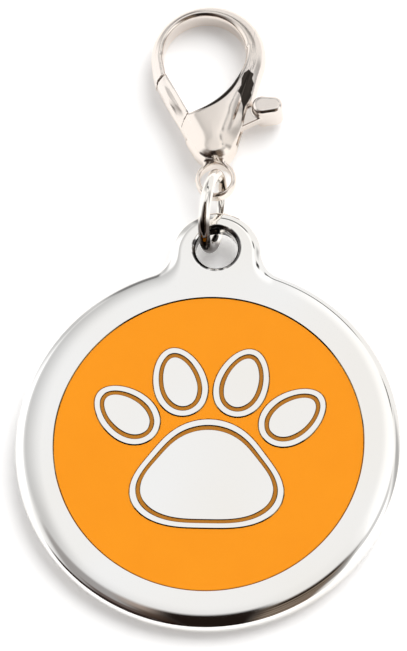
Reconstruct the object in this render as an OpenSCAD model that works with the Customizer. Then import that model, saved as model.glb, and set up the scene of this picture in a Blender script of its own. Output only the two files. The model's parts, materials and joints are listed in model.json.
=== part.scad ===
// Round enamelled pet tag on a jump ring and a lobster clasp, lying on a table.
// Every piece is a separate solid in millimetres, +Z up, with the table at z = 0.

/* [Tag] */
// Diameter of the round tag
tag_d = 30; // [28:0.5:34]
// Thickness of the tag
tag_t = 2; // [1.8:0.1:3]
// Radius of the rounded front and back edges
tag_edge_r = 0.8; // [0.4:0.05:0.8]
// Diameter of the sunken enamel field
field_d = 24; // [21:0.2:25]
// Depth of the sunken field below the front face
field_depth = 0.6; // [0.4:0.05:0.8]
// Step from the front face down to the enamel
enamel_sink = 0.08; // [0.02:0.02:0.2]

/* [Lug] */
// Diameter of the round end of the lug
lug_d = 7.2; // [6.4:0.1:8]
// Distance from the disc's rim to the lug's centre
lug_out = 0.65; // [0.3:0.05:1.2]
// Step from the disc's back face up to the lug's back face
lug_step = 0.3; // [0.1:0.05:0.4]
// Radius of the hollow fillets beside the lug
lug_fillet_r = 2; // [1:0.1:3]
// Diameter of the hole for the jump ring
bore_d = 3.3; // [3:0.1:3.6]
// Distance from the disc's rim to the hole's centre
bore_out = 1.15; // [0.9:0.05:1.3]
// Rounding of the hole's edges
bore_edge_r = 0.28; // [0.1:0.02:0.4]

/* [Paw motif] */
// Width of the main pad
pad_w = 11.6; // [9:0.2:12]
// Height of the main pad
pad_h = 9; // [7:0.2:9.4]
// Distance from the tag's centre down to the main pad's centre
pad_drop = 2.9; // [2:0.1:3.4]
// Width of a toe
toe_w = 4.2; // [3:0.1:4.6]
// Length of a toe
toe_h = 5.8; // [4:0.1:6]
// Distance from the main pad's centre to the toes' centres
toe_reach = 8.3; // [8.2:0.1:8.8]
// Angle between neighbouring toes
toe_step = 34; // [33:1:38]
// Metal left between a pad's edge and its enamelled line
line_inset = 0.5; // [0.3:0.05:0.7]
// Width of the enamelled lines
line_w = 0.32; // [0.2:0.02:0.5]
// Depth of the enamelled lines
line_depth = 0.3; // [0.24:0.02:0.4]

/* [Jump ring] */
// Inner diameter of the ring
ring_id = 4.8; // [4.6:0.1:6]
// Diameter of the ring's wire
ring_wire = 0.9; // [0.7:0.05:1]
// Width of the cut where the wire's two ends meet
ring_cut = 0.06; // [0.02:0.01:0.2]
// Place of that cut round the ring, counted from the table
ring_cut_place = 242; // [200:1:300]
// Sideways lean of the standing ring
ring_lean = 7; // [0:0.5:10]
// Turn of the ring away from the tag's long axis
ring_turn = 8; // [0:0.5:10]
// Distance from the long axis to the ring's centre, to the left
ring_left = 0.35; // [0:0.05:0.5]
// Play between the ring's inner edge and the hole's outer wall
ring_play = 1.28; // [1.1:0.02:1.5]

/* [Clasp] */
// Outer diameter of the clasp's round top
arch_d = 9; // [8.6:0.02:9.6]
// Distance from the eye's centre to the centre of the round top
arch_y = 10.62; // [10.4:0.02:11]
// Thickness of the round top
arch_t = 2.2; // [2:0.1:2.6]
// Rounding of the clasp's outer edges
clasp_edge_r = 0.85; // [0.6:0.05:0.9]
// Diameter of the hook's inner curve
hook_d = 6.34; // [6:0.02:6.6]
// Thickness of the cheeks
belly_t = 2.9; // [2.6:0.1:3.2]
// Outer diameter of the eye
eye_d = 3.2; // [3:0.05:3.4]
// Wall of the eye
eye_wall = 0.4; // [0.35:0.01:0.45]
// Thickness of the eye
eye_t = 1.1; // [0.9:0.05:1.2]
// Play between the eye's inner edge and the ring's inner edge
eye_play = 0.64; // [0.5:0.05:0.8]
// Width of the neck between the body and the eye
neck_w = 1.5; // [1:0.1:1.8]
// Distance from the long axis to the eye's centre, to the left
eye_left = 0.3; // [0.2:0.02:0.4]
// Turn of the clasp away from the tag's long axis
clasp_turn = 6; // [0:0.5:8]

/* [Lever] */
// Distance from the eye's centre to the pin along the clasp
pin_y = 3.95; // [3.9:0.05:4.1]
// Distance from the clasp's long axis to the pin, to the left
pin_left = 0.3; // [0.2:0.05:0.4]
// Diameter of the pin
pin_d = 0.9; // [0.7:0.05:1.1]
// Radius of the lever's hub round the pin
hub_r = 1.15; // [1:0.05:1.2]
// Radius of the cheek's edge that the gate turns over
cheek_r = 2.15; // [2.1:0.02:2.2]
// Thickness of the lever's web between the cheeks
web_t = 0.9; // [0.8:0.05:1.1]
// Thickness of the thumb piece
thumb_t = 2.7; // [2.4:0.1:2.9]
// Radius of the thumb piece's root
thumb_r = 0.8; // [0.7:0.02:0.85]
// Radius of the thumb piece's tip
thumb_tip_r = 0.7; // [0.6:0.02:0.8]
// Length between the thumb piece's root and tip centres
thumb_l = 0.85; // [0.7:0.05:1.2]
// Width of the arm that carries the thumb piece
arm_w = 1.3; // [1:0.05:1.4]
// Angle through which the lever opens
open_angle = 35; // [20:1:37]

/* [Spring] */
// Outer diameter of the coil spring
spring_d = 0.8; // [0.7:0.02:0.84]
// Diameter of the spring's wire
spring_wire = 0.14; // [0.1:0.01:0.16]
// Length of the spring with the gate closed
spring_l = 1.5; // [1.4:0.02:1.6]
// Number of turns
spring_turns = 5; // [4:1:7]

/* [Fits] */
// Clearance of faces that run on each other
run_gap = 0.06; // [0.04:0.01:0.1]
// Clearance of pieces that lie against each other
lay_gap = 0.03; // [0.02:0.01:0.06]
// Clearance at the middle of two round pieces that cross askew
askew_gap = 0.1; // [0.08:0.01:0.14]

/* [Hidden] */
$fn = 96;
hull_fn = 32;
rim_sides = 48;
steel = [0.80, 0.80, 0.82];
orange = [0.99, 0.60, 0.15];
amber = [0.72, 0.36, 0.08];
// How far every cut runs past the faces that it opens
overrun = 1;
half_share = 0.5;

// Tag, in its own frame: disc's centre at the origin, back face at z = 0
tag_r = tag_d * half_share;
flat_r = tag_r - tag_edge_r;
field_r = field_d * half_share;
lug_r = lug_d * half_share;
lug_y = tag_r + lug_out;
bore_r = bore_d * half_share;
bore_y = tag_r + bore_out;
field_floor = tag_t - field_depth;
line_floor = tag_t - line_depth;
// Centre of the fillet circle that touches both the disc's rim and the lug's rim
fillet_from_disc = tag_r + lug_fillet_r;
fillet_from_lug = lug_r + lug_fillet_r;
fillet_y = (pow(fillet_from_disc, 2) - pow(fillet_from_lug, 2) + pow(lug_y, 2)) / lug_y / 2;
fillet_x = sqrt(pow(fillet_from_disc, 2) - pow(fillet_y, 2));
// How deep in the disc a fillet's web starts, as a share of the way to the fillet's centre
web_root_share = 0.75;
// How far below a face the centre of a hole's edge rounding lies, as a share of its radius
edge_bite_share = 0.9;
pad_points = 48;
toe_points = 36;
pad_lobe_share = 0.1;
toe_taper_share = 0.12;
toe_places = [-1.5, -0.5, 0.5, 1.5];

// Ring, standing on the table with the tag's far end resting on its wire
wire_r = ring_wire * half_share;
ring_ir = ring_id * half_share;
ring_r = ring_ir + wire_r;
ring_y = bore_y + bore_r - ring_play + ring_ir;
ring_z = ring_r * cos(ring_lean) + wire_r;
ring_cut_turn = ring_cut / ring_r * 180 / PI;
// The tag tips about its near edge until the hole's outer wall lies on the ring
seat_y = bore_y + bore_r + bore_edge_r;
seat_drop = sqrt(pow(ring_ir - run_gap - bore_edge_r, 2) - pow(ring_y - seat_y, 2));
tag_tilt = asin((ring_z - seat_drop - lug_step - bore_edge_r * edge_bite_share) / (seat_y + flat_r));

// Clasp, in its own frame: eye's centre at the origin, +Y along the clasp
arch_r = arch_d * half_share;
hook_r = hook_d * half_share;
eye_r = eye_d * half_share;
eye_ir = eye_r - eye_wall;
eye_edge_share = 0.45;
eye_edge_r = eye_wall * eye_edge_share;
arch_shift_share = 0.0178;
arch_x = arch_r * arch_shift_share;
hook_shares = [-0.0622, 0.0467];
shoulder_shares = [-0.762, -0.404];
shoulder_r_share = 0.211;
belly_shares = [0.02, 0.455];
belly_r_share = 0.518;
tail_shares = [0.012, 0.297];
tail_r_share = 0.422;
tip_in_shares = [-0.749, -0.293];
tip_mid_shares = [-0.891, -0.422];
tip_out_shares = [-0.98, -0.591];
tip_far_shares = [-1.449, -0.972];
crease_r_share = 1.334;
crease_shares = [-0.673, 0.2];
crease_side_share = 0.8;
arch_c = [arch_x, arch_y];
hook_c = arch_c + arch_r * hook_shares;
tip_in = arch_c + arch_r * tip_in_shares;
tip_mid = arch_c + arch_r * tip_mid_shares;
tip_out = arch_c + arch_r * tip_out_shares;
tip_far = arch_c + arch_r * tip_far_shares;
crease_c = arch_c + arch_r * crease_shares;
tail_c = [arch_r * tail_shares[0], arch_y * tail_shares[1]];
belly_c = [arch_r * belly_shares[0], arch_y * belly_shares[1]];
pin_c = [-pin_left, pin_y];
root_angle = 130;
gate_root = pin_c + polar(cheek_r, root_angle);
gate_way = (gate_root - tip_in) / norm(gate_root - tip_in);
hook_side = [hook_c[0] - hook_r, hook_c[1]];
// Directions from the pin, between which the gate's web reaches from the hub
web_gate = [106, 186];
web_play = 6;
slot_gate = [web_gate[0] - open_angle - web_play, web_gate[1] + web_play];
thumb_angle = 22;
thumb_reach = 4.7;
thumb_way = 2;
reach = arch_d;
slot_t = web_t + 2 * run_gap;
thumb_edge_share = 0.85;
// Spring, from the arm's sloping lower side straight down into its pocket
spring_along_share = 1.09;
spring_top = pin_c + polar(hub_r * spring_along_share, thumb_angle)
             + polar(arm_w * half_share + lay_gap + spring_d * half_share * tan(thumb_angle), thumb_angle - 90);
pocket_r = spring_d * half_share + lay_gap;
spring_sides = 6;
spring_steps = 12;

// Where the clasp lies: its eye rides on the ring, its far end touches the table
eye_y = ring_y + ring_ir + eye_ir - eye_play;
eye_drop = sqrt(pow(ring_ir - askew_gap - eye_edge_r, 2) - pow(ring_ir - eye_play - eye_edge_r, 2));
eye_z = ring_z - eye_drop + eye_t * half_share - eye_edge_r * edge_bite_share;
clasp_tilt = asin((eye_z - arch_t * half_share) / (arch_y + arch_r - clasp_edge_r));
// The origin is under the middle of the whole object
near_y = -flat_r - tag_edge_r - (tag_t - tag_edge_r) * sin(tag_tilt);
slope = sin(clasp_tilt) * cos(clasp_turn);
far_y = eye_y + arch_y * cos(clasp_tilt) * cos(clasp_turn) + arch_x * sin(clasp_turn)
        + (arch_r - clasp_edge_r) * sqrt(1 - pow(slope, 2)) + clasp_edge_r
        + (arch_t * half_share - clasp_edge_r) * slope;
middle_y = (near_y + far_y) / 2;

function polar(r, a) = [r * cos(a), r * sin(a)];

// Moves a piece from the tag's own frame to where the tag lies
module tag_place() {
    translate([0, -flat_r - middle_y, 0]) rotate([tag_tilt, 0, 0]) translate([0, flat_r, 0]) children();
}

// Moves a piece from the clasp's own frame to where the clasp lies
module clasp_place() {
    translate([-eye_left, eye_y - middle_y, eye_z]) rotate([0, 0, clasp_turn])
        rotate([-clasp_tilt, 0, 0]) children();
}

// Half section of a disc with rounded edges, standing on y = 0
module round_section(r, t, e) {
    square([r - e, t]);
    translate([0, e]) square([r, t - 2 * e]);
    translate([r - e, e]) circle(r = e);
    translate([r - e, t - e]) circle(r = e);
}

module round_disc(r, t, e) {
    rotate_extrude() intersection() {
        round_section(r, t, e);
        square([r, t]);
    }
}

// Disc of the tag, with the middle of each short side on its true rim and one of them lowest
module tag_disc() {
    side_share = 1 / cos(180 / rim_sides);
    hull() scale([side_share, side_share, 1]) rotate(180 / rim_sides)
        round_disc(tag_r, tag_t, tag_edge_r, $fn = rim_sides);
}

// Outline of a rounded three-lobed pad, smaller all round by inset
module pad_outline(inset) {
    w = pad_w * half_share - inset;
    h = pad_h * half_share - inset;
    polygon([for (i = [0 : pad_points - 1])
        let (a = i * 360 / pad_points, lobe = 1 + pad_lobe_share * cos(3 * (a - 90)))
        [w * lobe * cos(a), h * lobe * sin(a)]]);
}

// Outline of an egg-shaped toe, smaller all round by inset
module toe_outline(inset) {
    w = toe_w * half_share - inset;
    h = toe_h * half_share - inset;
    polygon([for (i = [0 : toe_points - 1])
        let (a = i * 360 / toe_points)
        [w * (1 - toe_taper_share * sin(a)) * cos(a), h * sin(a)]]);
}

// The whole paw, smaller all round by inset, or larger where inset is negative
module paw(inset) {
    translate([0, -pad_drop]) {
        pad_outline(inset);
        for (place = toe_places)
            rotate(place * toe_step) translate([0, toe_reach]) toe_outline(inset);
    }
}

// Web beside the lug, hollowed by a fillet with the rim's own rounded edges
module lug_web(side) {
    e = tag_edge_r;
    difference() {
        translate([0, 0, lug_step]) linear_extrude(height = tag_t - lug_step)
            polygon([[0, lug_y], [side * fillet_x, fillet_y],
                     [side * fillet_x * web_root_share, fillet_y * web_root_share]]);
        translate([side * fillet_x, fillet_y, 0]) rotate_extrude() difference() {
            translate([0, -overrun]) square([lug_fillet_r + e, tag_t + 2 * overrun]);
            translate([lug_fillet_r, lug_step + e]) square([e + overrun, tag_t - lug_step - 2 * e]);
            translate([lug_fillet_r + e, lug_step + e]) circle(r = e);
            translate([lug_fillet_r + e, tag_t - e]) circle(r = e);
        }
    }
}

// Round hole of radius r through a plate from z = low to z = high, its edges rounded by e
module rounded_hole(r, low, high, e) {
    wide_r = r + e;
    low_z = low + e * edge_bite_share;
    high_z = high - e * edge_bite_share;
    rotate_extrude() difference() {
        translate([0, low - overrun]) square([wide_r, high - low + 2 * overrun]);
        translate([r, low_z]) square([e + overrun, high_z - low_z]);
        translate([wide_r, low_z]) circle(r = e);
        translate([wide_r, high_z]) circle(r = e);
    }
}

module tag_body() {
    color(steel) tag_place() {
        difference() {
            union() {
                tag_disc();
                translate([0, lug_y, lug_step]) round_disc(lug_r, tag_t - lug_step, tag_edge_r);
                for (side = [-1, 1]) lug_web(side);
            }
            translate([0, 0, field_floor]) cylinder(r = field_r, h = field_depth + overrun);
            translate([0, bore_y, 0]) rounded_hole(bore_r, lug_step, tag_t, bore_edge_r);
        }
        translate([0, 0, field_floor]) linear_extrude(height = field_depth - line_depth) paw(0);
        translate([0, 0, line_floor]) linear_extrude(height = line_depth) difference() {
            paw(0);
            difference() {
                paw(line_inset);
                paw(line_inset + line_w);
            }
        }
    }
}

module enamel_field() {
    color(orange) tag_place() translate([0, 0, field_floor])
        linear_extrude(height = field_depth - enamel_sink) difference() {
            circle(r = field_r - lay_gap);
            paw(-lay_gap);
        }
}

module enamel_lines() {
    color(amber) tag_place() translate([0, 0, line_floor])
        linear_extrude(height = line_depth - enamel_sink) difference() {
            paw(line_inset + lay_gap);
            paw(line_inset + line_w - lay_gap);
        }
}

module jump_ring() {
    color(steel) translate([-ring_left, ring_y - middle_y, ring_z]) rotate([0, 0, -ring_turn])
        rotate([0, 90 - ring_lean, 0]) rotate([0, 0, ring_cut_place + ring_cut_turn * half_share])
        rotate_extrude(angle = 360 - ring_cut_turn) translate([ring_r, 0]) circle(r = wire_r);
}

// One rounded disc of the clasp's envelope, centred on the clasp's middle plane
module puck(centre, r, t) {
    translate([centre[0], centre[1], -t * half_share]) round_disc(r, t, clasp_edge_r, $fn = hull_fn);
}

// The clasp's whole outside, before anything is cut: a domed teardrop
module clasp_envelope() {
    hull() {
        puck(arch_c, arch_r, arch_t);
        puck(arch_c + arch_r * shoulder_shares, arch_r * shoulder_r_share, arch_t);
        puck(belly_c, arch_r * belly_r_share, belly_t);
        puck(tail_c, arch_r * tail_r_share, arch_t);
    }
}

// Gives a plan outline the height t, centred on the clasp's middle plane
module thick(t) {
    linear_extrude(height = t, center = true) children();
}

// Plan of the hook's opening: the inner curve, and the curved crease below it
module opening_plan() {
    translate(hook_c) circle(r = hook_r);
    intersection() {
        translate(crease_c) circle(r = arch_r * crease_r_share);
        polygon([hook_side, tip_in, gate_root, pin_c, [arch_r, pin_y], [arch_r * crease_side_share, hook_c[1]]]);
    }
}

// Plan of the room that the gate takes, pulled back from the hook's tip by back
module gate_plan(back, round_r, low_angle) {
    shift = gate_way * back;
    difference() {
        polygon([tip_in + shift, tip_mid + shift, tip_out + shift, tip_far + shift,
                 pin_c + polar(reach, 150), pin_c + polar(reach, low_angle), pin_c, gate_root]);
        translate(pin_c) circle(r = round_r);
    }
}

// Plan of the slice between two directions from the pin
module sector_plan(angles) {
    middle = (angles[0] + angles[1]) / 2;
    polygon([pin_c, pin_c + polar(reach, angles[0]), pin_c + polar(reach, middle),
             pin_c + polar(reach, angles[1])]);
}

module spring_place() {
    translate(spring_top) rotate([90, 0, 0]) children();
}

// Plan of the arm from the hub to the thumb piece, wider all round by gap
module arm_plan(angle, length, gap) {
    translate(pin_c) rotate(angle) translate([0, -arm_w * half_share - gap])
        square([length, arm_w + 2 * gap]);
}

// Plan of the room between the cheeks, for the lever closed, open and on its way
module slot_plan() {
    translate(pin_c) circle(r = hub_r + run_gap);
    intersection() {
        sector_plan(slot_gate);
        translate(pin_c) circle(r = cheek_r + overrun);
    }
    sector_plan([thumb_angle - open_angle, thumb_angle]);
    for (angle = [thumb_angle, thumb_angle - open_angle]) arm_plan(angle, thumb_reach, run_gap);
}

module clasp_body() {
    neck_l = tail_c[1];
    color(steel) clasp_place() difference() {
        union() {
            clasp_envelope();
            translate([0, 0, -eye_t * half_share]) round_disc(eye_r, eye_t, eye_edge_r);
            translate([-neck_w * half_share, 0, -eye_t * half_share]) cube([neck_w, neck_l, eye_t]);
        }
        thick(belly_t + overrun) opening_plan();
        thick(belly_t + overrun) gate_plan(0, cheek_r, slot_gate[1]);
        rounded_hole(eye_ir, -eye_t * half_share, eye_t * half_share, eye_edge_r);
        thick(slot_t) slot_plan();
        thick(belly_t + overrun) translate(pin_c) circle(d = pin_d);
        spring_place() cylinder(r = pocket_r, h = spring_l + lay_gap);
    }
}

// Rounded paddle outside the body, pressed to open the gate
module thumb_piece() {
    root = pin_c + polar(thumb_reach, thumb_angle);
    tip = root + polar(thumb_l, -thumb_way);
    hull() {
        for (end = [[root, thumb_r], [tip, thumb_tip_r]])
            translate([end[0][0], end[0][1], -thumb_t * half_share])
                round_disc(end[1], thumb_t, end[1] * thumb_edge_share, $fn = hull_fn);
    }
}

module clasp_lever() {
    color(steel) clasp_place() difference() {
        union() {
            intersection() {
                clasp_envelope();
                union() {
                    thick(belly_t + overrun) gate_plan(run_gap, cheek_r + run_gap, web_gate[1]);
                    thick(web_t) intersection() {
                        sector_plan(web_gate);
                        translate(pin_c) circle(r = cheek_r + overrun);
                    }
                }
            }
            thick(web_t) {
                translate(pin_c) circle(r = hub_r);
                arm_plan(thumb_angle, thumb_reach, 0);
            }
            thumb_piece();
        }
        thick(belly_t + overrun) opening_plan();
        thick(belly_t + overrun) translate(pin_c) circle(r = pin_d * half_share + run_gap);
    }
}

module lever_pin() {
    color(steel) clasp_place() intersection() {
        clasp_envelope();
        thick(belly_t + overrun) translate(pin_c) circle(d = pin_d);
    }
}

// Coil of round wire as one unbroken tube, from its top at z = 0 down
module lever_spring() {
    r = spring_d * half_share - spring_wire * half_share;
    rise = (spring_l - spring_wire) / spring_turns / spring_steps;
    rings = spring_turns * spring_steps;
    points = [for (i = [0 : rings], j = [0 : spring_sides - 1])
        let (a = i * 360 / spring_steps, b = j * 360 / spring_sides,
             rho = r + spring_wire * half_share * cos(b))
        [rho * cos(a), rho * sin(a), spring_wire * half_share * (1 + sin(b)) + i * rise]];
    sides = [for (i = [0 : rings - 1], j = [0 : spring_sides - 1])
        let (a = i * spring_sides + j, b = i * spring_sides + (j + 1) % spring_sides)
        each [[a, b, b + spring_sides], [a, b + spring_sides, a + spring_sides]]];
    first = [for (j = [1 : spring_sides - 2]) [0, j + 1, j]];
    last_at = rings * spring_sides;
    last = [for (j = [1 : spring_sides - 2]) [last_at, last_at + j, last_at + j + 1]];
    color(steel) clasp_place() spring_place() polyhedron(points, concat(sides, first, last));
}

tag_body();
enamel_field();
enamel_lines();
jump_ring();
clasp_body();
clasp_lever();
lever_pin();
lever_spring();
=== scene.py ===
import json
import math

import bpy
import numpy as np
from mathutils import Matrix, Vector
from mathutils.geometry import delaunay_2d_cdt


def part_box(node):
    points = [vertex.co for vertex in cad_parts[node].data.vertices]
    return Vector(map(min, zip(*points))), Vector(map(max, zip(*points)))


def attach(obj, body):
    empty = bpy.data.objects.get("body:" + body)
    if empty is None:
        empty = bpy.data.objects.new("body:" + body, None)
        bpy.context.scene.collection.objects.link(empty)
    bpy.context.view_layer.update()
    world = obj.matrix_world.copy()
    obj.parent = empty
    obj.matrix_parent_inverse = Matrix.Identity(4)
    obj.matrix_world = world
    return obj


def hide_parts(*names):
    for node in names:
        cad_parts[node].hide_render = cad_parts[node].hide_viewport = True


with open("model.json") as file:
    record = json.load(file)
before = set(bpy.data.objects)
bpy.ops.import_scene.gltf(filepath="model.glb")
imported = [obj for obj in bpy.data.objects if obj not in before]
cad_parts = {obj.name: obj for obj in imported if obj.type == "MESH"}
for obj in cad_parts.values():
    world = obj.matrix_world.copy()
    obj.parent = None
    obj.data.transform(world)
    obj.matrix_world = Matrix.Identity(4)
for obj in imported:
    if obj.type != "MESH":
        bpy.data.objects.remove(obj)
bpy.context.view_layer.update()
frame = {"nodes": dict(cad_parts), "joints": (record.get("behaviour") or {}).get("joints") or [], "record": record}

nodes = frame["nodes"]
scene = bpy.context.scene
back_face = next(m for m in frame["record"]["mounts"] if m["name"] == "back_face")
lever_pivot = next(j for j in frame["joints"] if j["name"] == "lever_pivot")

# Sizes are in millimetres and angles in degrees, unless their comment says otherwise
MM = 0.001
RUN_GAP = 0.06


def polar(centre, radius, angle):
    a = math.radians(angle)
    return (centre[0] + radius * math.cos(a), centre[1] + radius * math.sin(a))


# Clasp in its own frame: the eye's centre at the origin, +Y along the clasp and +Z up.
# Its outline is a taut band round four round pucks: arch, shoulder, belly and tail
ARCH_R, ARCH_Y = 4.5, 10.62
ARCH = (ARCH_R * 0.0178, ARCH_Y)
ARCH_HALF_T, BELLY_HALF_T = 1.1, 1.45


def by_arch(share_x, share_y):
    """A point given from the arch's centre in shares of its radius."""
    return (ARCH[0] + ARCH_R * share_x, ARCH[1] + ARCH_R * share_y)


SHOULDER, SHOULDER_R = by_arch(-0.762, -0.404), ARCH_R * 0.211
BELLY, BELLY_R = (ARCH_R * 0.02, ARCH_Y * 0.455), ARCH_R * 0.518
TAIL, TAIL_R = (ARCH_R * 0.012, ARCH_Y * 0.297), ARCH_R * 0.422
PUCKS = [(ARCH, ARCH_R), (SHOULDER, SHOULDER_R), (BELLY, BELLY_R), (TAIL, TAIL_R)]
EDGE_R = 0.85

HOOK, HOOK_R = by_arch(-0.0622, 0.0467), 3.17
CREASE, CREASE_R = by_arch(-0.673, 0.2), ARCH_R * 1.334
TIP_IN, TIP_MID = by_arch(-0.749, -0.293), by_arch(-0.891, -0.422)
TIP_OUT, TIP_FAR = by_arch(-0.98, -0.591), by_arch(-1.449, -0.972)
REACH = 9.0

EYE_R, EYE_INNER_R, EYE_HALF_T, EYE_EDGE = 1.6, 1.2, 0.55, 0.3
NECK_HALF_W, NECK_EDGE = 0.75, 0.2

# Lever on its pin. Angles go round the pin from +X
PIN, PIN_R, PIN_HALF = (-0.3, 3.95), 0.45, 1.0
CHEEK_R, HUB_R, WEB_HALF = 2.15, 1.15, 0.45
GATE_ROOT = polar(PIN, CHEEK_R, 130)
OPEN_ANGLE, WEB_PLAY = lever_pivot["range_deg"][1], 6.0
WEB_GATE = (106.0, 186.0)
SLOT_GATE = (WEB_GATE[0] - OPEN_ANGLE - WEB_PLAY, WEB_GATE[1] + WEB_PLAY)
THUMB_ANGLE, THUMB_WAY = 22.0, -2.0
ARM_W, ARM_REACH = 1.3, 4.9
THUMB_REACH, THUMB_L, THUMB_R, THUMB_TIP_R = 4.7, 0.85, 0.8, 0.7
THUMB_HALF_T, THUMB_EDGE = 1.3, 0.3

# Radii of the roundings where the clasp's forms meet, and how far the gate lies below the body
NECK_ROUND, OPENING_ROUND, EYE_ROUND, SLOT_ROUND, SEAM_ROUND = 0.35, 0.45, 0.3, 0.08, 0.01
FLANK_ROUND, CREASE_ROUND = 0.7, 0.3
GATE_ROUND, HUB_EDGE, THUMB_ROUND, GATE_OPENING_ROUND, GATE_SINK = 0.02, 0.05, 0.2, 0.12, 0.05
# Grids on which the clasp's meshes are made, as lowest and highest corner and step
BODY_GRID = ((-4.7, -1.84, -1.6), (5.0, 15.4, 1.6), 0.08)
LEVER_GRID = ((-4.8, 2.6, -1.6), (6.0, 9.8, 1.6), 0.08)
PIN_GRID = ((-0.9, 3.4, -1.6), (0.3, 4.5, 1.6), 0.05)

# Tag in its own frame: the disc's centre at the origin, its back face at z = 0
TAG_R, TAG_T = 15.0, 2.0
LUG_R, LUG_Y, FILLET_R, LUG_STEP = 3.6, 15.65, 2.0, 0.3
BORE_R, BORE_Y, BORE_EDGE = 1.65, 16.15, 0.28
FIELD_R, FLOOR, LINE_FLOOR, BEVEL = 12.0, 1.4, 1.7, 0.07
# Inset of the soft shoulder, radius of the edges, steepness where they meet, height of the back
DISC_RIM, LUG_RIM = (2.2, 0.8, 10, 0.0), (0.95, 0.62, 25, LUG_STEP)

# Paw motif: width and height of the main pad and its drop from the disc's centre, then width,
# length, distance from the main pad and spread of the toes
PAD_W, PAD_H, PAD_DROP = 11.6, 9.0, 2.9
TOE_W, TOE_H, TOE_REACH, TOE_STEP = 4.2, 5.8, 8.3, 34.0
TOE_PLACES = (-1.5, -0.5, 0.5, 1.5)
LINE_INSET, LINE_W, LINE_BEVEL = 0.5, 0.32, 0.03


def clasp_place():
    """Origin of the clasp's frame, and its turn about +Z and tilt, from the lever's hinge."""
    up = -Vector(lever_pivot["axis"])
    turn = math.atan2(-up.x, up.y)
    tilt = math.atan2(math.hypot(up.x, up.y), up.z)
    spin = Matrix.Rotation(turn, 4, "Z") @ Matrix.Rotation(-tilt, 4, "X")
    return Vector(lever_pivot["pos_m"]) - spin @ Vector((*PIN, 0)) * MM, turn, tilt


def tag_place():
    """Origin of the tag's frame, and its tilt, from the back face."""
    return Vector(back_face["pos_m"]), math.asin(back_face["axis"][1])


CLASP_AT, CLASP_TURN, CLASP_TILT = clasp_place()
TAG_AT, TAG_TILT = tag_place()
# From the clasp's or tag's millimetres to the scene's metres
CLASP_TO_SCENE = (Matrix.Translation(CLASP_AT) @ Matrix.Rotation(CLASP_TURN, 4, "Z")
                  @ Matrix.Rotation(-CLASP_TILT, 4, "X") @ Matrix.Scale(MM, 4))
TAG_TO_SCENE = Matrix.Translation(TAG_AT) @ Matrix.Rotation(TAG_TILT, 4, "X") @ Matrix.Scale(MM, 4)


# Fields over the clasp's frame: negative inside, and about the distance to the surface
def smooth(k):
    k = np.clip(k, 0, 1)
    return k * k * (3 - 2 * k)


def smin(a, b, k):
    h = np.maximum(k - np.abs(a - b), 0.0) / k
    return np.minimum(a, b) - h * h * k * 0.25


def smax(a, b, k):
    return -smin(-a, -b, k)


def circle(x, y, c, r):
    return np.hypot(x - c[0], y - c[1]) - r


def polygon(x, y, pts):
    d = np.full(np.broadcast(x, y).shape, 1e9)
    s = np.ones_like(d)
    for (ax, ay), (bx, by) in zip(pts, [pts[-1]] + list(pts[:-1])):
        ex, ey = bx - ax, by - ay
        wx, wy = x - ax, y - ay
        t = np.clip((wx * ex + wy * ey) / (ex * ex + ey * ey), 0, 1)
        d = np.minimum(d, (wx - ex * t) ** 2 + (wy - ey * t) ** 2)
        c1, c2, c3 = y >= ay, y < by, ex * wy > ey * wx
        flip = (c1 & c2 & c3) | (~c1 & ~c2 & ~c3)
        s = np.where(flip, -s, s)
    return s * np.sqrt(d)


def sector(x, y, a0, a1):
    """Wedge from the pin between two angles."""
    return polygon(x, y, [PIN] + [polar(PIN, REACH, a) for a in (a0, (a0 + a1) / 2, a1)])


def arm(x, y, angle, gap):
    c, s = math.cos(math.radians(angle)), math.sin(math.radians(angle))
    along = (x - PIN[0]) * c + (y - PIN[1]) * s
    across = -(x - PIN[0]) * s + (y - PIN[1]) * c
    return np.maximum(np.maximum(np.abs(across) - ARM_W / 2 - gap, along - ARM_REACH), -along)


def rounded_plate(d, z, half_t, edge):
    """Plate over the outline d, with round edges."""
    a, q = d + edge, np.abs(z) - half_t + edge
    return np.hypot(np.maximum(a, 0), np.maximum(q, 0)) + np.minimum(np.maximum(a, q), 0) - edge


BAND_WAYS = [(math.cos(a), math.sin(a)) for a in np.linspace(0, 2 * math.pi, 128, endpoint=False)]
# Depth of the round edge: more by this much over the cheeks, and only this much on the gate
CHEEK_CROWN, GATE_EDGE = 1.3, 0.42
# Stretches along the clasp over which cheeks, tail and gate change their form: start and length
CHEEK_TOP, CHEEK_LOW, TAIL_TOP = (9.2, 4.0), (1.5, 2.4), (BELLY[1] + 0.9, 2.2)
GATE_LOW, GATE_TOP = (5.0, 2.6), (9.8, 1.0)
GATE_SIDE, GATE_FADE = polar((0, 0), 1, 216), 0.5


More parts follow.
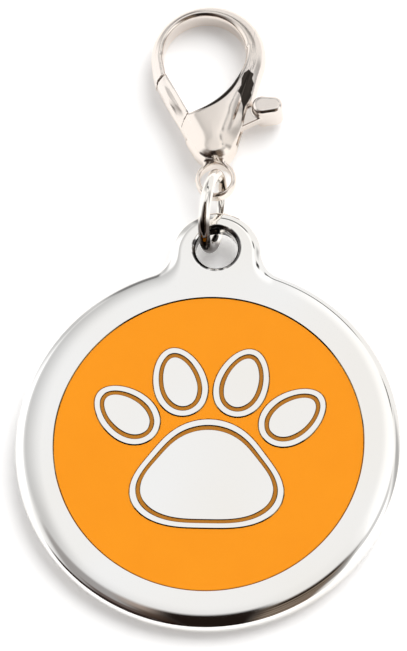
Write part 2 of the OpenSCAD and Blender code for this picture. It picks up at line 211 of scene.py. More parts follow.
def cross_section(x, y):
    """Distance to the taut band less its edge, half the thickness, and depth of the round edge."""
    d = np.full(np.broadcast(x, y).shape, -1e9)
    share = np.ones_like(d)
    for ux, uy in BAND_WAYS:
        h = max(c[0] * ux + c[1] * uy + r - EDGE_R for c, r in PUCKS)
        p = x * ux + y * uy
        d = np.maximum(d, p - h)
        room = h - (BELLY[0] * ux + BELLY[1] * uy + BELLY_R - EDGE_R)
        if room > 1e-4:
            share = np.minimum(share, (h - p) / room)
    share = np.clip(share, 0, 1)
    share = smooth(share) * 0.5 + share * 0.5
    share = share + (1 - share) * smooth((TAIL_TOP[0] - y) / TAIL_TOP[1])
    crown = smooth((CHEEK_TOP[0] - y) / CHEEK_TOP[1]) * smooth((y - CHEEK_LOW[0]) / CHEEK_LOW[1])
    out = (GATE_SIDE[0] * (x - PIN[0]) + GATE_SIDE[1] * (y - PIN[1])) / GATE_FADE
    gate = (smooth((y - GATE_LOW[0]) / GATE_LOW[1]) * np.clip((GATE_TOP[0] - y) / GATE_TOP[1], 0, 1)
            * np.clip(out, 0, 1))
    half_t = ARCH_HALF_T + (BELLY_HALF_T - ARCH_HALF_T) * share * (1 - 0.5 * gate)
    return d, half_t, (EDGE_R + CHEEK_CROWN * crown) * (1 - gate) + GATE_EDGE * gate


def envelope(x, y, z):
    """The clasp's outer form, without its opening, slot and eye."""
    d, half_t, edge = cross_section(x, y)
    side = smax(d + edge - EDGE_R, np.zeros_like(d), FLANK_ROUND) / edge
    return (np.hypot(side, np.abs(z) / half_t) - 1) * EDGE_R


def opening(x, y):
    hook_side = (HOOK[0] - HOOK_R, HOOK[1])
    crease = np.maximum(circle(x, y, CREASE, CREASE_R), polygon(x, y, [
        hook_side, TIP_IN, GATE_ROOT, PIN, (ARCH_R, PIN[1]), (ARCH_R * 0.8, HOOK[1])]))
    return smin(circle(x, y, HOOK, HOOK_R), crease, CREASE_ROUND)


def gate_room(x, y, back, round_r, low):
    """Room that the gate fills, drawn back from the hook's tip and down to the angle low."""
    way = np.subtract(GATE_ROOT, TIP_IN)
    shift = way / np.hypot(*way) * back
    tip = [tuple(np.add(p, shift)) for p in (TIP_IN, TIP_MID, TIP_OUT, TIP_FAR)]
    side = [polar(PIN, REACH, 150), polar(PIN, REACH, low), PIN, GATE_ROOT]
    return np.maximum(polygon(x, y, tip + side), -circle(x, y, PIN, round_r))


def web(x, y, angles):
    return np.maximum(sector(x, y, *angles), circle(x, y, PIN, CHEEK_R + 1))


def slot(x, y):
    """Slot between the cheeks, swept by the lever from shut to open."""
    s = np.minimum(circle(x, y, PIN, HUB_R + RUN_GAP), web(x, y, SLOT_GATE))
    s = np.minimum(s, sector(x, y, THUMB_ANGLE - OPEN_ANGLE, THUMB_ANGLE))
    for a in (THUMB_ANGLE, THUMB_ANGLE - OPEN_ANGLE):
        s = np.minimum(s, arm(x, y, a, RUN_GAP))
    return s


def body_field(x, y, z):
    f = envelope(x, y, z)
    eye = rounded_plate(circle(x, y, (0, 0), EYE_R), z, EYE_HALF_T, EYE_EDGE)
    neck = rounded_plate(np.maximum(np.abs(x) - NECK_HALF_W, np.abs(y - EYE_R) - EYE_R),
                         z, EYE_HALF_T, NECK_EDGE)
    f = smin(f, smin(eye, neck, EYE_ROUND), NECK_ROUND)
    f = smax(f, -opening(x, y), OPENING_ROUND)
    f = smax(f, -gate_room(x, y, 0, CHEEK_R, SLOT_GATE[1]), SEAM_ROUND)
    f = smax(f, -circle(x, y, (0, 0), EYE_INNER_R), EYE_ROUND)
    f = smax(f, -np.maximum(slot(x, y), np.abs(z) - WEB_HALF - RUN_GAP), SLOT_ROUND)
    return np.maximum(f, -np.maximum(circle(x, y, PIN, PIN_R), np.abs(z) - PIN_HALF))


def lever_field(x, y, z):
    gate = gate_room(x, y, RUN_GAP, CHEEK_R + SEAM_ROUND, WEB_GATE[1])
    inner = np.maximum(web(x, y, WEB_GATE), np.abs(z) - WEB_HALF)
    f = smax(envelope(x, y, z) + GATE_SINK, np.minimum(gate, inner), GATE_ROUND)
    hub = np.minimum(circle(x, y, PIN, HUB_R), arm(x, y, THUMB_ANGLE, 0))
    f = np.minimum(f, rounded_plate(hub, z, WEB_HALF, HUB_EDGE))
    root = polar(PIN, THUMB_REACH, THUMB_ANGLE)
    ux, uy = np.subtract(polar(root, THUMB_L, THUMB_WAY), root)
    t = np.clip(((x - root[0]) * ux + (y - root[1]) * uy) / THUMB_L ** 2, 0, 1)
    radius = THUMB_R + (THUMB_TIP_R - THUMB_R) * t
    thumb = np.hypot(x - root[0] - ux * t, y - root[1] - uy * t) - radius
    f = smin(f, rounded_plate(thumb, z, THUMB_HALF_T, THUMB_EDGE), THUMB_ROUND)
    f = smax(f, -opening(x, y), GATE_OPENING_ROUND)
    return np.maximum(f, -circle(x, y, PIN, PIN_R + RUN_GAP))


def pin_field(x, y, z):
    return np.maximum(np.abs(z) - PIN_HALF, circle(x, y, PIN, PIN_R))


def field_mesh(name, f, lo, hi, step):
    """Closed mesh of the zero surface of f, its vertices moved onto that surface."""
    axes = [np.arange(a, b + step, step) for a, b in zip(lo, hi)]
    X, Y, Z = axes[0][:, None, None], axes[1][None, :, None], axes[2][None, None, :]
    v = np.broadcast_to(f(X, Y, Z), [len(a) for a in axes]).astype(float)
    inside = v < 0
    nx, ny, nz = v.shape
    # One vertex in each cell that the surface crosses, at the mean of its crossings
    total = np.zeros((nx - 1, ny - 1, nz - 1, 3))
    count = np.zeros((nx - 1, ny - 1, nz - 1))
    corners = [(i, j, k) for i in (0, 1) for j in (0, 1) for k in (0, 1)]
    for a in corners:
        for b in corners:
            if sum(b) - sum(a) != 1 or any(q < p for p, q in zip(a, b)):
                continue
            sa = tuple(slice(p, n - 1 + p) for p, n in zip(a, v.shape))
            sb = tuple(slice(p, n - 1 + p) for p, n in zip(b, v.shape))
            va, vb = v[sa], v[sb]
            cross = inside[sa] != inside[sb]
            t = np.where(cross, va / np.where(cross, va - vb, 1), 0)
            for c in range(3):
                total[..., c] += np.where(cross, a[c] + t * (b[c] - a[c]), 0)
            count += cross
    cell = count > 0
    index = np.full(cell.shape, -1)
    index[cell] = np.arange(cell.sum())
    base = np.argwhere(cell)
    pts = (base + total[cell] / count[cell][:, None]) * step + np.array(lo)
    # One face round each grid edge that the surface crosses
    quads = []
    for c in range(3):
        a = [slice(None)] * 3
        b = [slice(None)] * 3
        a[c], b[c] = slice(0, -1), slice(1, None)
        change = np.argwhere(inside[tuple(a)] != inside[tuple(b)])
        up = inside[tuple(a)][tuple(change.T)]
        e, g = [(1, 2), (2, 0), (0, 1)][c]
        ring = []
        for de, dg in ((0, 0), (1, 0), (1, 1), (0, 1)):
            q = change.copy()
            q[:, e] -= de
            q[:, g] -= dg
            ring.append(index[tuple(q.T)])
        ring = np.stack(ring, 1)
        ring[up] = ring[up][:, ::-1]
        quads.append(ring)
    quads = np.concatenate(quads)[:, ::-1]
    h = 0.01
    for _ in range(4):
        g0 = f(*pts.T)
        g = np.stack([(f(*(pts + h * e).T) - f(*(pts - h * e).T)) / (2 * h) for e in np.eye(3)], 1)
        move = g * (g0 / np.maximum((g * g).sum(1), 0.2))[:, None]
        n = np.linalg.norm(move, axis=1, keepdims=True)
        pts = pts - move * np.minimum(1, 0.5 * step / np.maximum(n, 1e-9))
    return make_object(name, pts.tolist(), quads.tolist(), CLASP_TO_SCENE, [True] * len(quads))


def make_object(name, points, faces, to_scene, smooth_faces):
    mesh = bpy.data.meshes.new(name)
    mesh.from_pydata(points, [], faces)
    mesh.transform(to_scene)
    mesh.update()
    mesh.polygons.foreach_set("use_smooth", smooth_faces)
    obj = bpy.data.objects.new(name, mesh)
    scene.collection.objects.link(obj)
    return obj


def rim_path():
    """Rim of the disc, its two hollow fillets and the lug, point by point: centre and radius of the
    arc, its side, the angle and the disc's share in the profile."""
    a, b = TAG_R + FILLET_R, LUG_R + FILLET_R
    fy = (a * a - b * b + LUG_Y * LUG_Y) / LUG_Y / 2
    fx = math.sqrt(a * a - fy * fy)
    low = math.degrees(math.atan2(fy, fx))
    high = math.degrees(math.atan2(fy - LUG_Y, fx))
    path = []

    def arc(c, radius, side, a0, a1, n, w0, w1):
        for i in range(n):
            k = i / n
            w = w0 + (w1 - w0) * k * k * (3 - 2 * k)
            path.append((c, radius, side, math.radians(a0 + (a1 - a0) * k), w))

    arc((0, 0), TAG_R, 1, 180 - low, 360 + low, 420, 1, 1)
    arc((fx, fy), FILLET_R, -1, 180 + low, 180 + high, 36, 1, 0)
    arc((0, LUG_Y), LUG_R, 1, high, 180 - high, 110, 0, 0)
    arc((-fx, fy), FILLET_R, -1, 360 - high, 360 - low, 36, 0, 1)
    return path


def rim_profile(dome, edge, brow, bottom):
    """Inset and height from the inner end of the soft shoulder, over the rim, to the back face."""
    t = math.radians(brow)
    big = (dome - edge + edge * math.sin(t)) / math.sin(t)
    points = [(dome - big * math.sin(t * k), TAG_T - big * (1 - math.cos(t * k)))
              for k in (0, 0.03, 0.1, 0.2, 0.35, 0.5, 0.65, 0.82)]
    centre = TAG_T - big * (1 - math.cos(t)) - edge * math.cos(t)
    for k in range(15):
        a = t + (math.pi / 2 - t) * k / 14
        points.append((edge - edge * math.sin(a), centre + edge * math.cos(a)))
    for k in range(11):
        a = math.pi / 2 * k / 10
        points.append((edge - edge * math.cos(a), bottom + edge - edge * math.sin(a)))
    return points


class Build:
    """Faces of one closed solid, gathered loop by loop, in millimetres."""

    def __init__(self):
        self.v, self.f, self.flat = [], [], []

    def loop(self, points):
        start = len(self.v)
        self.v += points
        return list(range(start, len(self.v)))

    def band(self, a, b, flat=False):
        n = len(a)
        for i in range(n):
            j = (i + 1) % n
            self.f.append((a[i], a[j], b[j], b[i]))
            self.flat.append(flat)

    def bands(self, loops, flat=False):
        for a, b in zip(loops, loops[1:]):
            self.band(a, b, flat)

    def cap(self, loops, inside, up):
        """Flat faces among the loops, where inside says so."""
        ids = [i for l in loops for i in l]
        pts = [Vector(self.v[i][:2]) for i in ids]
        edges, at = [], 0
        for l in loops:
            edges += [(at + i, at + (i + 1) % len(l)) for i in range(len(l))]
            at += len(l)
        out = delaunay_2d_cdt(pts, edges, [], 0, 1e-7)
        source = [ids[o[0]] for o in out[3]]
        mid = np.array([[sum(out[0][i][k] for i in face) / 3 for k in (0, 1)] for face in out[2]])
        keep = inside(mid[:, 0], mid[:, 1])
        for face, k in zip(out[2], keep):
            if k:
                q = [source[i] for i in face]
                (ax, ay, _), (bx, by, _), (cx, cy, _) = [self.v[i] for i in q]
                turn = (bx - ax) * (cy - ay) - (by - ay) * (cx - ax)
                self.f.append(tuple(q if (turn > 0) == up else q[::-1]))
                self.flat.append(True)

    def object(self, name, to_scene):
        return make_object(name, self.v, self.f, to_scene, [not k for k in self.flat])


def ring_points(c, radius, z, n):
    ways = [2 * math.pi * i / n for i in range(n)]
    return [(c[0] + radius * math.cos(a), c[1] + radius * math.sin(a), z) for a in ways]


def pad_loop(inset, z, n=144):
    w, h = PAD_W / 2 - inset, PAD_H / 2 - inset
    out = []
    for i in range(n):
        a = 2 * math.pi * i / n
        lobe = 1 + 0.1 * math.cos(3 * (a - math.pi / 2))
        out.append((w * lobe * math.cos(a), h * lobe * math.sin(a) - PAD_DROP, z))
    return out


def toe_loop(place, inset, z, n=96):
    w, h = TOE_W / 2 - inset, TOE_H / 2 - inset
    c, s = math.cos(math.radians(place * TOE_STEP)), math.sin(math.radians(place * TOE_STEP))
    out = []
    for i in range(n):
        a = 2 * math.pi * i / n
        x, y = w * (1 - 0.12 * math.sin(a)) * math.cos(a), h * math.sin(a) + TOE_REACH
        out.append((x * c - y * s, x * s + y * c - PAD_DROP, z))
    return out


def in_loop(points):
    px = [p[:2] for p in points]
    return lambda x, y: polygon(x, y, px) < 0


def quarter(n=9):
    return [math.pi / 2 * k / (n - 1) for k in range(n)]


def make_motif(b, shape):
    """One raised pad with its groove. Gives the loop at its foot and the test for its inside."""
    foot, brow, top = (b.loop(shape(*p)) for p in ((0, FLOOR), (0, TAG_T - BEVEL), (BEVEL, TAG_T)))
    b.bands([foot, brow, top], True)
    near, far = LINE_INSET, LINE_INSET + LINE_W
    outer = [b.loop(shape(*p)) for p in (
        (near - LINE_BEVEL, TAG_T), (near, TAG_T - LINE_BEVEL), (near, LINE_FLOOR))]
    inner = [b.loop(shape(*p)) for p in (
        (far + LINE_BEVEL, TAG_T), (far, TAG_T - LINE_BEVEL), (far, LINE_FLOOR))]
    b.bands(outer, True)
    b.bands(inner[::-1], True)
    in_foot, in_top, in_outer, in_inner, in_groove, in_core = [
        in_loop([b.v[i] for i in l]) for l in (foot, top, outer[0], inner[0], outer[2], inner[2])]
    b.cap([top, outer[0]], lambda x, y: in_top(x, y) & ~in_outer(x, y), True)
    b.cap([inner[0]], in_inner, True)
    b.cap([outer[2], inner[2]], lambda x, y: in_groove(x, y) & ~in_core(x, y), True)
    return foot, in_foot


def make_tag():
    b = Build()
    path = rim_path()
    rows = []
    for (d0, z0), (d1, z1) in zip(rim_profile(*DISC_RIM), rim_profile(*LUG_RIM)):
        row = []
        for c, radius, side, a, w in path:
            k = radius - side * (d1 + (d0 - d1) * w)
            row.append((c[0] + k * math.cos(a), c[1] + k * math.sin(a), z1 + (z0 - z1) * w))
        rows.append(b.loop(row))
    b.bands(rows[::-1])
    walls = [(BORE_R + BORE_EDGE * (1 - math.sin(a)), TAG_T - BORE_EDGE * (1 - math.cos(a)))
             for a in quarter()]
    walls += [(BORE_R + BORE_EDGE * (1 - math.cos(a)), LUG_STEP + BORE_EDGE * (1 - math.sin(a)))
              for a in quarter()]
    bore = [b.loop(ring_points((0, BORE_Y), radius, z, 128)) for radius, z in walls]
    b.bands(bore)
    field = [b.loop(ring_points((0, 0), FIELD_R + k, z, 288))
             for k, z in ((BEVEL, TAG_T), (0, TAG_T - BEVEL), (0, FLOOR))]
    b.bands(field, True)
    in_rim, in_bore, in_back = [in_loop([b.v[i] for i in l]) for l in (rows[0], bore[0], rows[-1])]
    b.cap([rows[0], bore[0], field[0]], lambda x, y: (
        in_rim(x, y) & ~in_bore(x, y) & (np.hypot(x, y) > FIELD_R + BEVEL)), True)
    shapes = [pad_loop] + [lambda inset, z, k=k: toe_loop(k, inset, z) for k in TOE_PLACES]
    feet, tests = zip(*(make_motif(b, shape) for shape in shapes))
    b.cap([field[2], *feet], lambda x, y: (
        (np.hypot(x, y) < FIELD_R) & ~np.any([t(x, y) for t in tests], 0)), True)
    b.cap([rows[-1], bore[-1]], lambda x, y: (
        in_back(x, y) & (np.hypot(x, y - BORE_Y) > BORE_R + BORE_EDGE)), False)
    return b.object("tag_casting", TAG_TO_SCENE)


tag = make_tag()
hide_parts("tag_body")
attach(tag, "tag")

body = field_mesh("clasp_casting", body_field, *BODY_GRID)
lever = field_mesh("clasp_trigger", lever_field, *LEVER_GRID)
pin = field_mesh("trigger_pin", pin_field, *PIN_GRID)
for obj, node, part in ((body, "clasp_body", "clasp"), (lever, "clasp_lever", "lever"),
                        (pin, "lever_pin", "clasp")):
    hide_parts(node)
    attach(obj, part)


class Tree:
    """Nodes of a material or world, added with their inputs linked or set."""

    def __init__(self, block):
        block.use_nodes = True
        self.t = block.node_tree
        self.t.nodes.clear()

    def add(self, kind, inputs=None, **props):
        n = self.t.nodes.new(kind)
        for k, v in props.items():
            setattr(n, k, v)
        for k, v in (inputs or {}).items():
            s = n.inputs[k]
            if isinstance(v, bpy.types.NodeSocket):
                self.t.links.new(v, s)
            else:
                s.default_value = v
        return n

    def math(self, op, a, b=0.0, c=0.0, clamp=False):
        return self.add("ShaderNodeMath", {0: a, 1: b, 2: c},
                        operation=op, use_clamp=clamp).outputs[0]

    def length(self, a, b):
        squares = self.math("ADD", self.math("MULTIPLY", a, a), self.math("MULTIPLY", b, b))
        return self.math("SQRT", squares)

    def noise(self, at, scale, detail):
        return self.add("ShaderNodeTexNoise", {
            "Vector": at, "Scale": scale, "Detail": detail}).outputs[0]

    def step_up(self, value, low, high):
        """0 at low and 1 at high, eased between them."""
        return self.add("ShaderNodeMapRange", {0: value, 1: low, 2: high, 3: 0.0, 4: 1.0},
                        interpolation_type="SMOOTHSTEP").outputs[0]

    def mix(self, share, under, over):
        sockets = [c if isinstance(c, bpy.types.NodeSocket) else colour(c) for c in (under, over)]
        return self.add("ShaderNodeMix", {"Factor": share, 6: sockets[0], 7: sockets[1]},
                        data_type="RGBA").outputs[2]

    def ramp(self, fac, stops):
        n = self.add("ShaderNodeValToRGB", {"Fac": fac})
        r = n.color_ramp
        while len(r.elements) > 1:
            r.elements.remove(r.elements[-1])
        r.elements[0].position = stops[0][0]
        r.elements[0].color = colour(stops[0][1])
        for p, c in stops[1:]:
            r.elements.new(p).color = colour(c)
        return n.outputs["Color"]

    def in_frame(self, at, origin, tilt, turn=0.0):
        """The place in a piece's own frame, in its millimetres, as a vector and as x, y and z."""
        place = self.add("ShaderNodeMapping", {
            "Vector": at, "Location": tuple(origin), "Rotation": (tilt, 0, turn),
            "Scale": (MM, MM, MM)}, vector_type="TEXTURE").outputs[0]
        return place, self.add("ShaderNodeSeparateXYZ", {0: place}).outputs


def colour(c):
    return (c, c, c, 1) if isinstance(c, (int, float)) else (*c, 1)


# How much of each of red, green and blue a warm patch of metal loses, in shares of its warmth
WARM_LOSS = (0.2, 0.6, 1.2)


def metal(name, base, rough, wave, scratch, warm=0.0, shade=None):
    """Polished plating with slow waves, fine scratches and warmer patches."""
    m = bpy.data.materials.new(name)
    t = Tree(m)
    at = t.add("ShaderNodeTexCoord").outputs["Object"]
    r = t.math("MULTIPLY_ADD", t.noise(at, 700.0, 3.0), rough * 0.8, rough * 0.6)
    slow = t.noise(at, 110.0, 1.0)
    stretched = t.add("ShaderNodeMapping", {
        "Vector": at, "Rotation": (0.3, 0.2, 0.6), "Scale": (9000, 500, 500)}).outputs[0]
    lines = t.noise(stretched, 1.0, 2.0)
    height = t.math("MULTIPLY_ADD", slow, wave, t.math("MULTIPLY", lines, scratch))
    bump = t.add("ShaderNodeBump", {"Height": height, "Strength": 1.0, "Distance": 0.001})
    patch = tuple(c * (1 - warm * k) for c, k in zip(base, WARM_LOSS))
    tint = t.ramp(slow, [(0.3, base), (0.7, patch)])
    if shade:
        tint = shade(t, at, tint)
    p = t.add("ShaderNodeBsdfPrincipled", {
        "Base Color": tint, "Metallic": 1.0, "Roughness": r, "Normal": bump.outputs[0]})
    t.add("ShaderNodeOutputMaterial", {"Surface": p.outputs[0]})
    return m


# Colours painted on the metal: a painted dark reflection on the clasp, and painted shade at the ring's lower end,
# in the lug's bore and along the enamel's edge
CLASP_PAINTED_REFLECTION, RING_PAINTED_SHADE = (0.045, 0.038, 0.032), (0.12, 0.10, 0.09)
BORE_PAINTED_SHADE, SEAM_PAINTED_SHADE = (0.10, 0.095, 0.095), (0.22, 0.16, 0.08)
# Painted dark reflection in the fold beside the cheek: it starts at this y, is this long, leans and stands off the
# clasp's axis
FOLD_Y, FOLD_L, FOLD_LEAN, FOLD_X = 5.0, 4.0, 0.2, 1.4
# Half its width at shares of its length
FOLD_HALF_W = [(0.0, 0.0), (0.06, 0.05), (0.3, 0.16), (0.4, 0.36), (0.5, 0.44), (0.72, 0.46),
               (0.9, 0.3), (0.98, 0.0)]
# Painted dark reflection as a crescent along the opening's lower edge: middle and half length of its arc, and its
# width
LINE_MID, LINE_HALF, CRESCENT_W = -50, 30, 0.5


def clasp_shade(t, at, tint):
    """Painted dark reflection in the fold beside the cheek and along the opening's lower edge."""
    place, (x, y, z) = t.in_frame(at, CLASP_AT, -CLASP_TILT, CLASP_TURN)
    wobble = t.math("MULTIPLY_ADD", t.noise(place, 1.5, 1.0), 1.8, -0.9)
    half = t.ramp(t.math("MULTIPLY_ADD", y, 1 / FOLD_L, -FOLD_Y / FOLD_L), FOLD_HALF_W)
    off = t.math("ABSOLUTE", t.math("SUBTRACT", x, t.math("MULTIPLY_ADD", y, FOLD_LEAN, FOLD_X)))
    ragged = t.math("ADD", t.math("SUBTRACT", half, off), t.math("MULTIPLY", wobble, half))
    fold = t.step_up(ragged, -0.03, 0.05)
    dx, dy = t.math("SUBTRACT", x, CREASE[0]), t.math("SUBTRACT", y, CREASE[1])
    out = t.math("SUBTRACT", t.length(dx, dy), CREASE_R)
    angle = t.math("SUBTRACT", t.math("ARCTAN2", dy, dx), math.radians(LINE_MID))
    along = t.math("DIVIDE", angle, math.radians(LINE_HALF))
    wide = t.math("MULTIPLY_ADD", t.math("MULTIPLY", along, along), -CRESCENT_W, CRESCENT_W)
    line = t.math("MULTIPLY", t.step_up(t.math("SUBTRACT", wide, out), -0.03, 0.06),
                  t.step_up(wide, -0.02, 0.06))
    line = t.math("MULTIPLY", line, t.step_up(out, -0.3, -0.1))
    dark = t.math("MULTIPLY", t.math("MAXIMUM", fold, line), t.step_up(z, 0.35, 0.6))
    return t.mix(dark, tint, CLASP_PAINTED_REFLECTION)


def ring_shade(t, at, tint):
    """Painted shade: dull brown at the ring's lower end, where it lies inside the lug's bore."""
    y = t.add("ShaderNodeSeparateXYZ", {0: at}).outputs[1]
    ring_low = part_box("jump_ring")[0].y
    return t.mix(t.step_up(y, ring_low + 1.8 * MM, ring_low + 1.1 * MM), tint, RING_PAINTED_SHADE)


def tag_shade(t, at, tint):
    """Painted shade: dark lines where the enamel meets the metal, and dark patches in the bore of the lug."""
    place, (x, y, z) = t.in_frame(at, TAG_AT, TAG_TILT)
    in_field = t.step_up(t.length(x, y), FIELD_R + 0.2, FIELD_R + 0.1)
    seam = t.math("MULTIPLY", t.step_up(z, TAG_T - 0.005, TAG_T - 0.015), in_field)
    from_bore = t.length(x, t.math("SUBTRACT", y, BORE_Y))
    spots = t.noise(place, 1.3, 3.0)
    bore = t.math("MULTIPLY", t.step_up(from_bore, 1.99, 1.87), t.step_up(spots, 0.36, 0.5))
    return t.mix(seam, t.mix(bore, tint, BORE_PAINTED_SHADE), SEAM_PAINTED_SHADE)


def enamel(name, base, dark):
    """Soft enamel with faint clouds and waves."""
    m = bpy.data.materials.new(name)
    t = Tree(m)
    at = t.add("ShaderNodeTexCoord").outputs["Object"]
    tint = t.ramp(t.noise(at, 260.0, 4.0), [(0.3, base), (0.75, dark)])
    bump = t.add("ShaderNodeBump", {
        "Height": t.noise(at, 130.0, 1.0), "Strength": 1.0, "Distance": 0.00002})
    p = t.add("ShaderNodeBsdfPrincipled", {
        "Base Color": tint, "Roughness": 0.3, "IOR": 1.46, "Specular IOR Level": 0.25,
        "Normal": bump.outputs[0]})
    t.add("ShaderNodeOutputMaterial", {"Surface": p.outputs[0]})
    return m


def use(obj, mat):
    obj.data.materials.clear()
    obj.data.materials.append(mat)


use(tag, metal("polished_metal", (0.93, 0.925, 0.915), rough=0.05, wave=0.006, scratch=0.0002,
               warm=0.05, shade=tag_shade))
use(nodes["enamel_field"], enamel("enamel", (0.95, 0.315, 0.002), (0.93, 0.30, 0.001)))
use(nodes["enamel_lines"], enamel("line_enamel", (0.50, 0.19, 0.01), (0.44, 0.16, 0.01)))
use(nodes["jump_ring"], metal("ring_wire", (0.92, 0.91, 0.895), rough=0.06, wave=0.004,
                              scratch=0.0004, warm=0.08, shade=ring_shade))
use(nodes["lever_spring"], metal("spring_wire", (0.72, 0.72, 0.72), rough=0.2, wave=0.0, scratch=0.0))
cast_metal = metal("clasp_metal", (0.85, 0.79, 0.745), rough=0.17, wave=0.006, scratch=0.0005,
                   warm=0.08, shade=clasp_shade)
for obj in (body, lever, pin):
    use(obj, cast_metal)

# Half the table's side, in metres
TABLE_HALF = 2


def make_table():
    mesh = bpy.data.meshes.new("table")
    corners = [(x * TABLE_HALF, y * TABLE_HALF, 0) for x, y in ((-1, -1), (1, -1), (1, 1), (-1, 1))]
    mesh.from_pydata(corners, [], [(0, 1, 2, 3)])
    table = bpy.data.objects.new("table", mesh)
    scene.collection.objects.link(table)
    m = bpy.data.materials.new("table")
    t = Tree(m)
    at = t.add("ShaderNodeTexCoord").outputs["Object"]
    tint = t.ramp(t.noise(at, 400.0, 2.0), [(0.0, 0.955), (1.0, 0.975)])
    matt = t.add("ShaderNodeBsdfDiffuse", {"Color": tint})
    # Lifted to white for the camera and for the metal that mirrors it, and never as light
    ray = t.add("ShaderNodeLightPath").outputs
    mirrored = t.math("ADD", ray["Is Glossy Ray"], ray["Is Transmission Ray"])
    seen = t.math("ADD", ray["Is Camera Ray"], mirrored, clamp=True)
    lift = t.add("ShaderNodeEmission", {
        "Color": (1.0, 0.985, 0.975, 1), "Strength": t.math("MULTIPLY", seen, 0.2)})
    both = t.add("ShaderNodeAddShader", {0: matt.outputs[0], 1: lift.outputs[0]})
    t.add("ShaderNodeOutputMaterial", {"Surface": both.outputs[0]})
    use(table, m)


# White room with a few panels, mirrored by the metal. A direction in it is given by rho, its angle
# from the direction HIGH behind the tag, and phi, its turn round HIGH from +X towards +Y
HIGH = Vector((-0.0656, 0.3721, 0.9259)).normalized()
SIDE = (Vector((1, 0, 0)) - HIGH * HIGH.x).normalized()
BACK = HIGH.cross(SIDE)
WALL_MIDDLE, WALL_START = 0.95, (10.0, 26.0)
# Walls by turn, soot by rho and brown by streak, each as (place, colour)
WALLS = [(0.0, 1.02), (0.08, 0.98), (0.33, 0.95), (0.39, 0.85), (0.43, 1.2), (0.54, 1.2),
         (0.585, 0.78), (0.63, 0.72), (0.89, 0.9), (0.9, 1.3), (0.96, 1.3), (1.0, 1.02)]
BROWN = [(0.36, (0.03, 0.018, 0.012)), (0.46, (0.16, 0.12, 0.09)), (0.6, (0.3, 0.24, 0.19))]
SOOT_REACH = 120.0
SOOT = [(0.19, (0.38, 0.31, 0.27)), (0.24, (0.2, 0.16, 0.135)), (0.36, (0.1, 0.07, 0.055)),
        (0.55, (0.06, 0.04, 0.03)), (0.78, (0.015, 0.007, 0.005))]


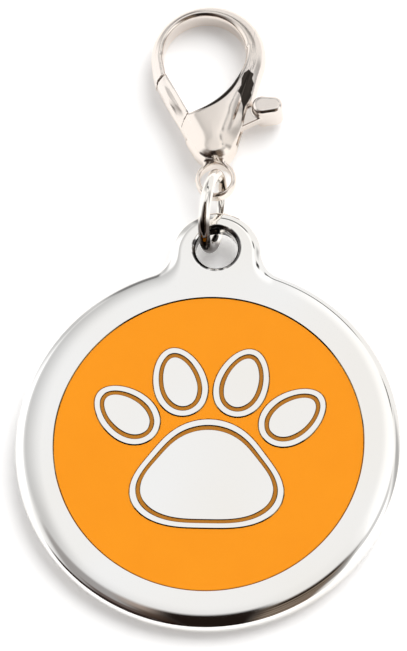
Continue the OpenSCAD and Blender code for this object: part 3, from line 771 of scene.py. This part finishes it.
def make_room():
    world = bpy.data.worlds.new("room")
    scene.world = world
    t = Tree(world)
    way = t.add("ShaderNodeTexCoord").outputs["Generated"]
    high, side, back = [
        t.add("ShaderNodeVectorMath", {0: way, 1: tuple(axis)},
              operation="DOT_PRODUCT").outputs["Value"] for axis in (HIGH, SIDE, BACK)]
    rho = t.math("MULTIPLY", t.math("ARCCOSINE", high), 180 / math.pi)
    phi = t.math("MULTIPLY", t.math("ARCTAN2", back, side), 180 / math.pi)
    spread = t.add("ShaderNodeCombineXYZ", {
        0: t.math("MULTIPLY", rho, 0.16), 1: t.math("MULTIPLY", phi, 0.02)}).outputs[0]

    def within(value, low, high, soft_low, soft_high):
        return t.math("MULTIPLY", t.step_up(value, low - soft_low, low + soft_low),
                      t.step_up(value, high + soft_high, high - soft_high))

    def panel(under, tint, turn, reach, soft, share=1.0):
        """A panel over the room: its range of phi, its range of rho, and the softness of its sides,
        its inner end and its outer end."""
        mid = (turn[0] + turn[1]) / 2
        at = t.math("WRAP", t.math("SUBTRACT", phi, mid), 180.0, -180.0)
        mask = t.math("MULTIPLY", within(at, turn[0] - mid, turn[1] - mid, soft[0], soft[0]),
                      within(rho, *reach, *soft[1:]))
        return t.mix(t.math("MULTIPLY", mask, share), under, tint)

    turned = t.math("FRACT", t.math("ADD", t.math("DIVIDE", phi, 360.0), 1.0))
    brown = t.ramp(t.noise(spread, 1.0, 2.0), BROWN)
    soot = t.ramp(t.math("DIVIDE", rho, SOOT_REACH), SOOT)
    room = t.mix(t.step_up(rho, *WALL_START), WALL_MIDDLE, t.ramp(turned, WALLS))
    # Grey at the left of the tag's soft shoulder and white at its right, then greys round its rim
    room = panel(room, 0.58, (100, 228), (11, 21), (12, 9, 4), 0.95)
    room = panel(room, 1.15, (322, 420), (12, 22), (12, 4, 3))
    room = panel(room, 0.48, (355, 374), (37, 92), (7, 8, 8))
    room = panel(room, 0.68, (322, 350), (26, 52), (6, 6, 6))
    room = panel(room, 0.22, (100, 124), (20, 52), (6, 4, 8))
    room = panel(room, 0.6, (124, 142), (26, 66), (7, 8, 8))
    # Thin dark line along the upper right of the rim, with a gap
    room = panel(room, 0.02, (7, 19), (20.5, 27), (3, 1.5, 1.5))
    room = panel(room, 0.02, (38, 100), (20.5, 27), (4, 1.5, 1.5))
    # Greys, browns and black along the lower rim
    room = panel(room, (0.36, 0.345, 0.34), (214, 250), (20, 76), (5, 2, 4))
    room = panel(room, (0.13, 0.10, 0.09), (226, 252), (50, 84), (5, 9, 4))
    room = panel(room, (0.03, 0.02, 0.017), (201, 250), (76, 140), (5, 6, 2))
    room = panel(room, soot, (246, 262), (20, 140), (5, 2, 2))
    room = panel(room, (0.3, 0.29, 0.28), (308, 322), (24, 74), (5, 1.5, 6))
    room = panel(room, brown, (282, 314), (22.5, 140), (5, 1.5, 2))
    room = panel(room, (0.015, 0.01, 0.007), (288, 312), (23.5, 30), (4, 1.5, 3))
    room = panel(room, (0.014, 0.009, 0.007), (256, 287), (20, 140), (5, 1.5, 2))
    bg = t.add("ShaderNodeBackground", {"Color": room, "Strength": 1.0})
    t.add("ShaderNodeOutputWorld", {"Surface": bg.outputs[0]})


def make_lamp():
    """Wide window high at the right and behind, for the table's soft shadows."""
    sun = bpy.data.lights.new("window", "SUN")
    sun.energy = 1.9
    sun.angle = math.radians(50)
    lamp = bpy.data.objects.new("window", sun)
    lamp.rotation_euler = Vector((0.5, 0.55, 0.95)).to_track_quat("Z", "Y").to_euler()
    lamp.visible_glossy = False
    scene.collection.objects.link(lamp)


# Photograph's size, its scale in pixels a millimetre, and where the tag's face has its centre
PHOTO_W, PHOTO_H, PIXELS_A_MM = 407, 651, 12.957
FACE_X, FACE_Y = 208.41, 443.50
# Camera's height above the horizon, turn and roll, and its distance in millimetres
EL, TURN, ROLL = math.radians(68.02), math.radians(10.36), math.radians(8.7)
DISTANCE = 1200.0
SENSOR_H = 36


def make_camera():
    away = Vector((math.sin(TURN) * math.cos(EL), -math.cos(TURN) * math.cos(EL), math.sin(EL)))
    level = Vector((math.cos(TURN), math.sin(TURN), 0))
    over = away.cross(level)
    right = math.cos(ROLL) * level - math.sin(ROLL) * over
    upward = math.sin(ROLL) * level + math.cos(ROLL) * over
    face = TAG_TO_SCENE @ Vector((0, 0, TAG_T))
    shift_x, shift_y = (FACE_X - PHOTO_W / 2) / PIXELS_A_MM, (FACE_Y - PHOTO_H / 2) / PIXELS_A_MM
    data = bpy.data.cameras.new("camera")
    data.sensor_fit = "VERTICAL"
    data.sensor_height = SENSOR_H
    data.lens = SENSOR_H * DISTANCE / (PHOTO_H / PIXELS_A_MM)
    data.clip_start, data.clip_end = 0.1, 50
    cam = bpy.data.objects.new("camera", data)
    m = Matrix((right, upward, away)).transposed().to_4x4()
    m.translation = face + (away * DISTANCE - right * shift_x + upward * shift_y) * MM
    cam.matrix_world = m
    scene.collection.objects.link(cam)
    scene.camera = cam


make_table()
make_room()
make_lamp()
make_camera()
scene.view_settings.view_transform = "Standard"
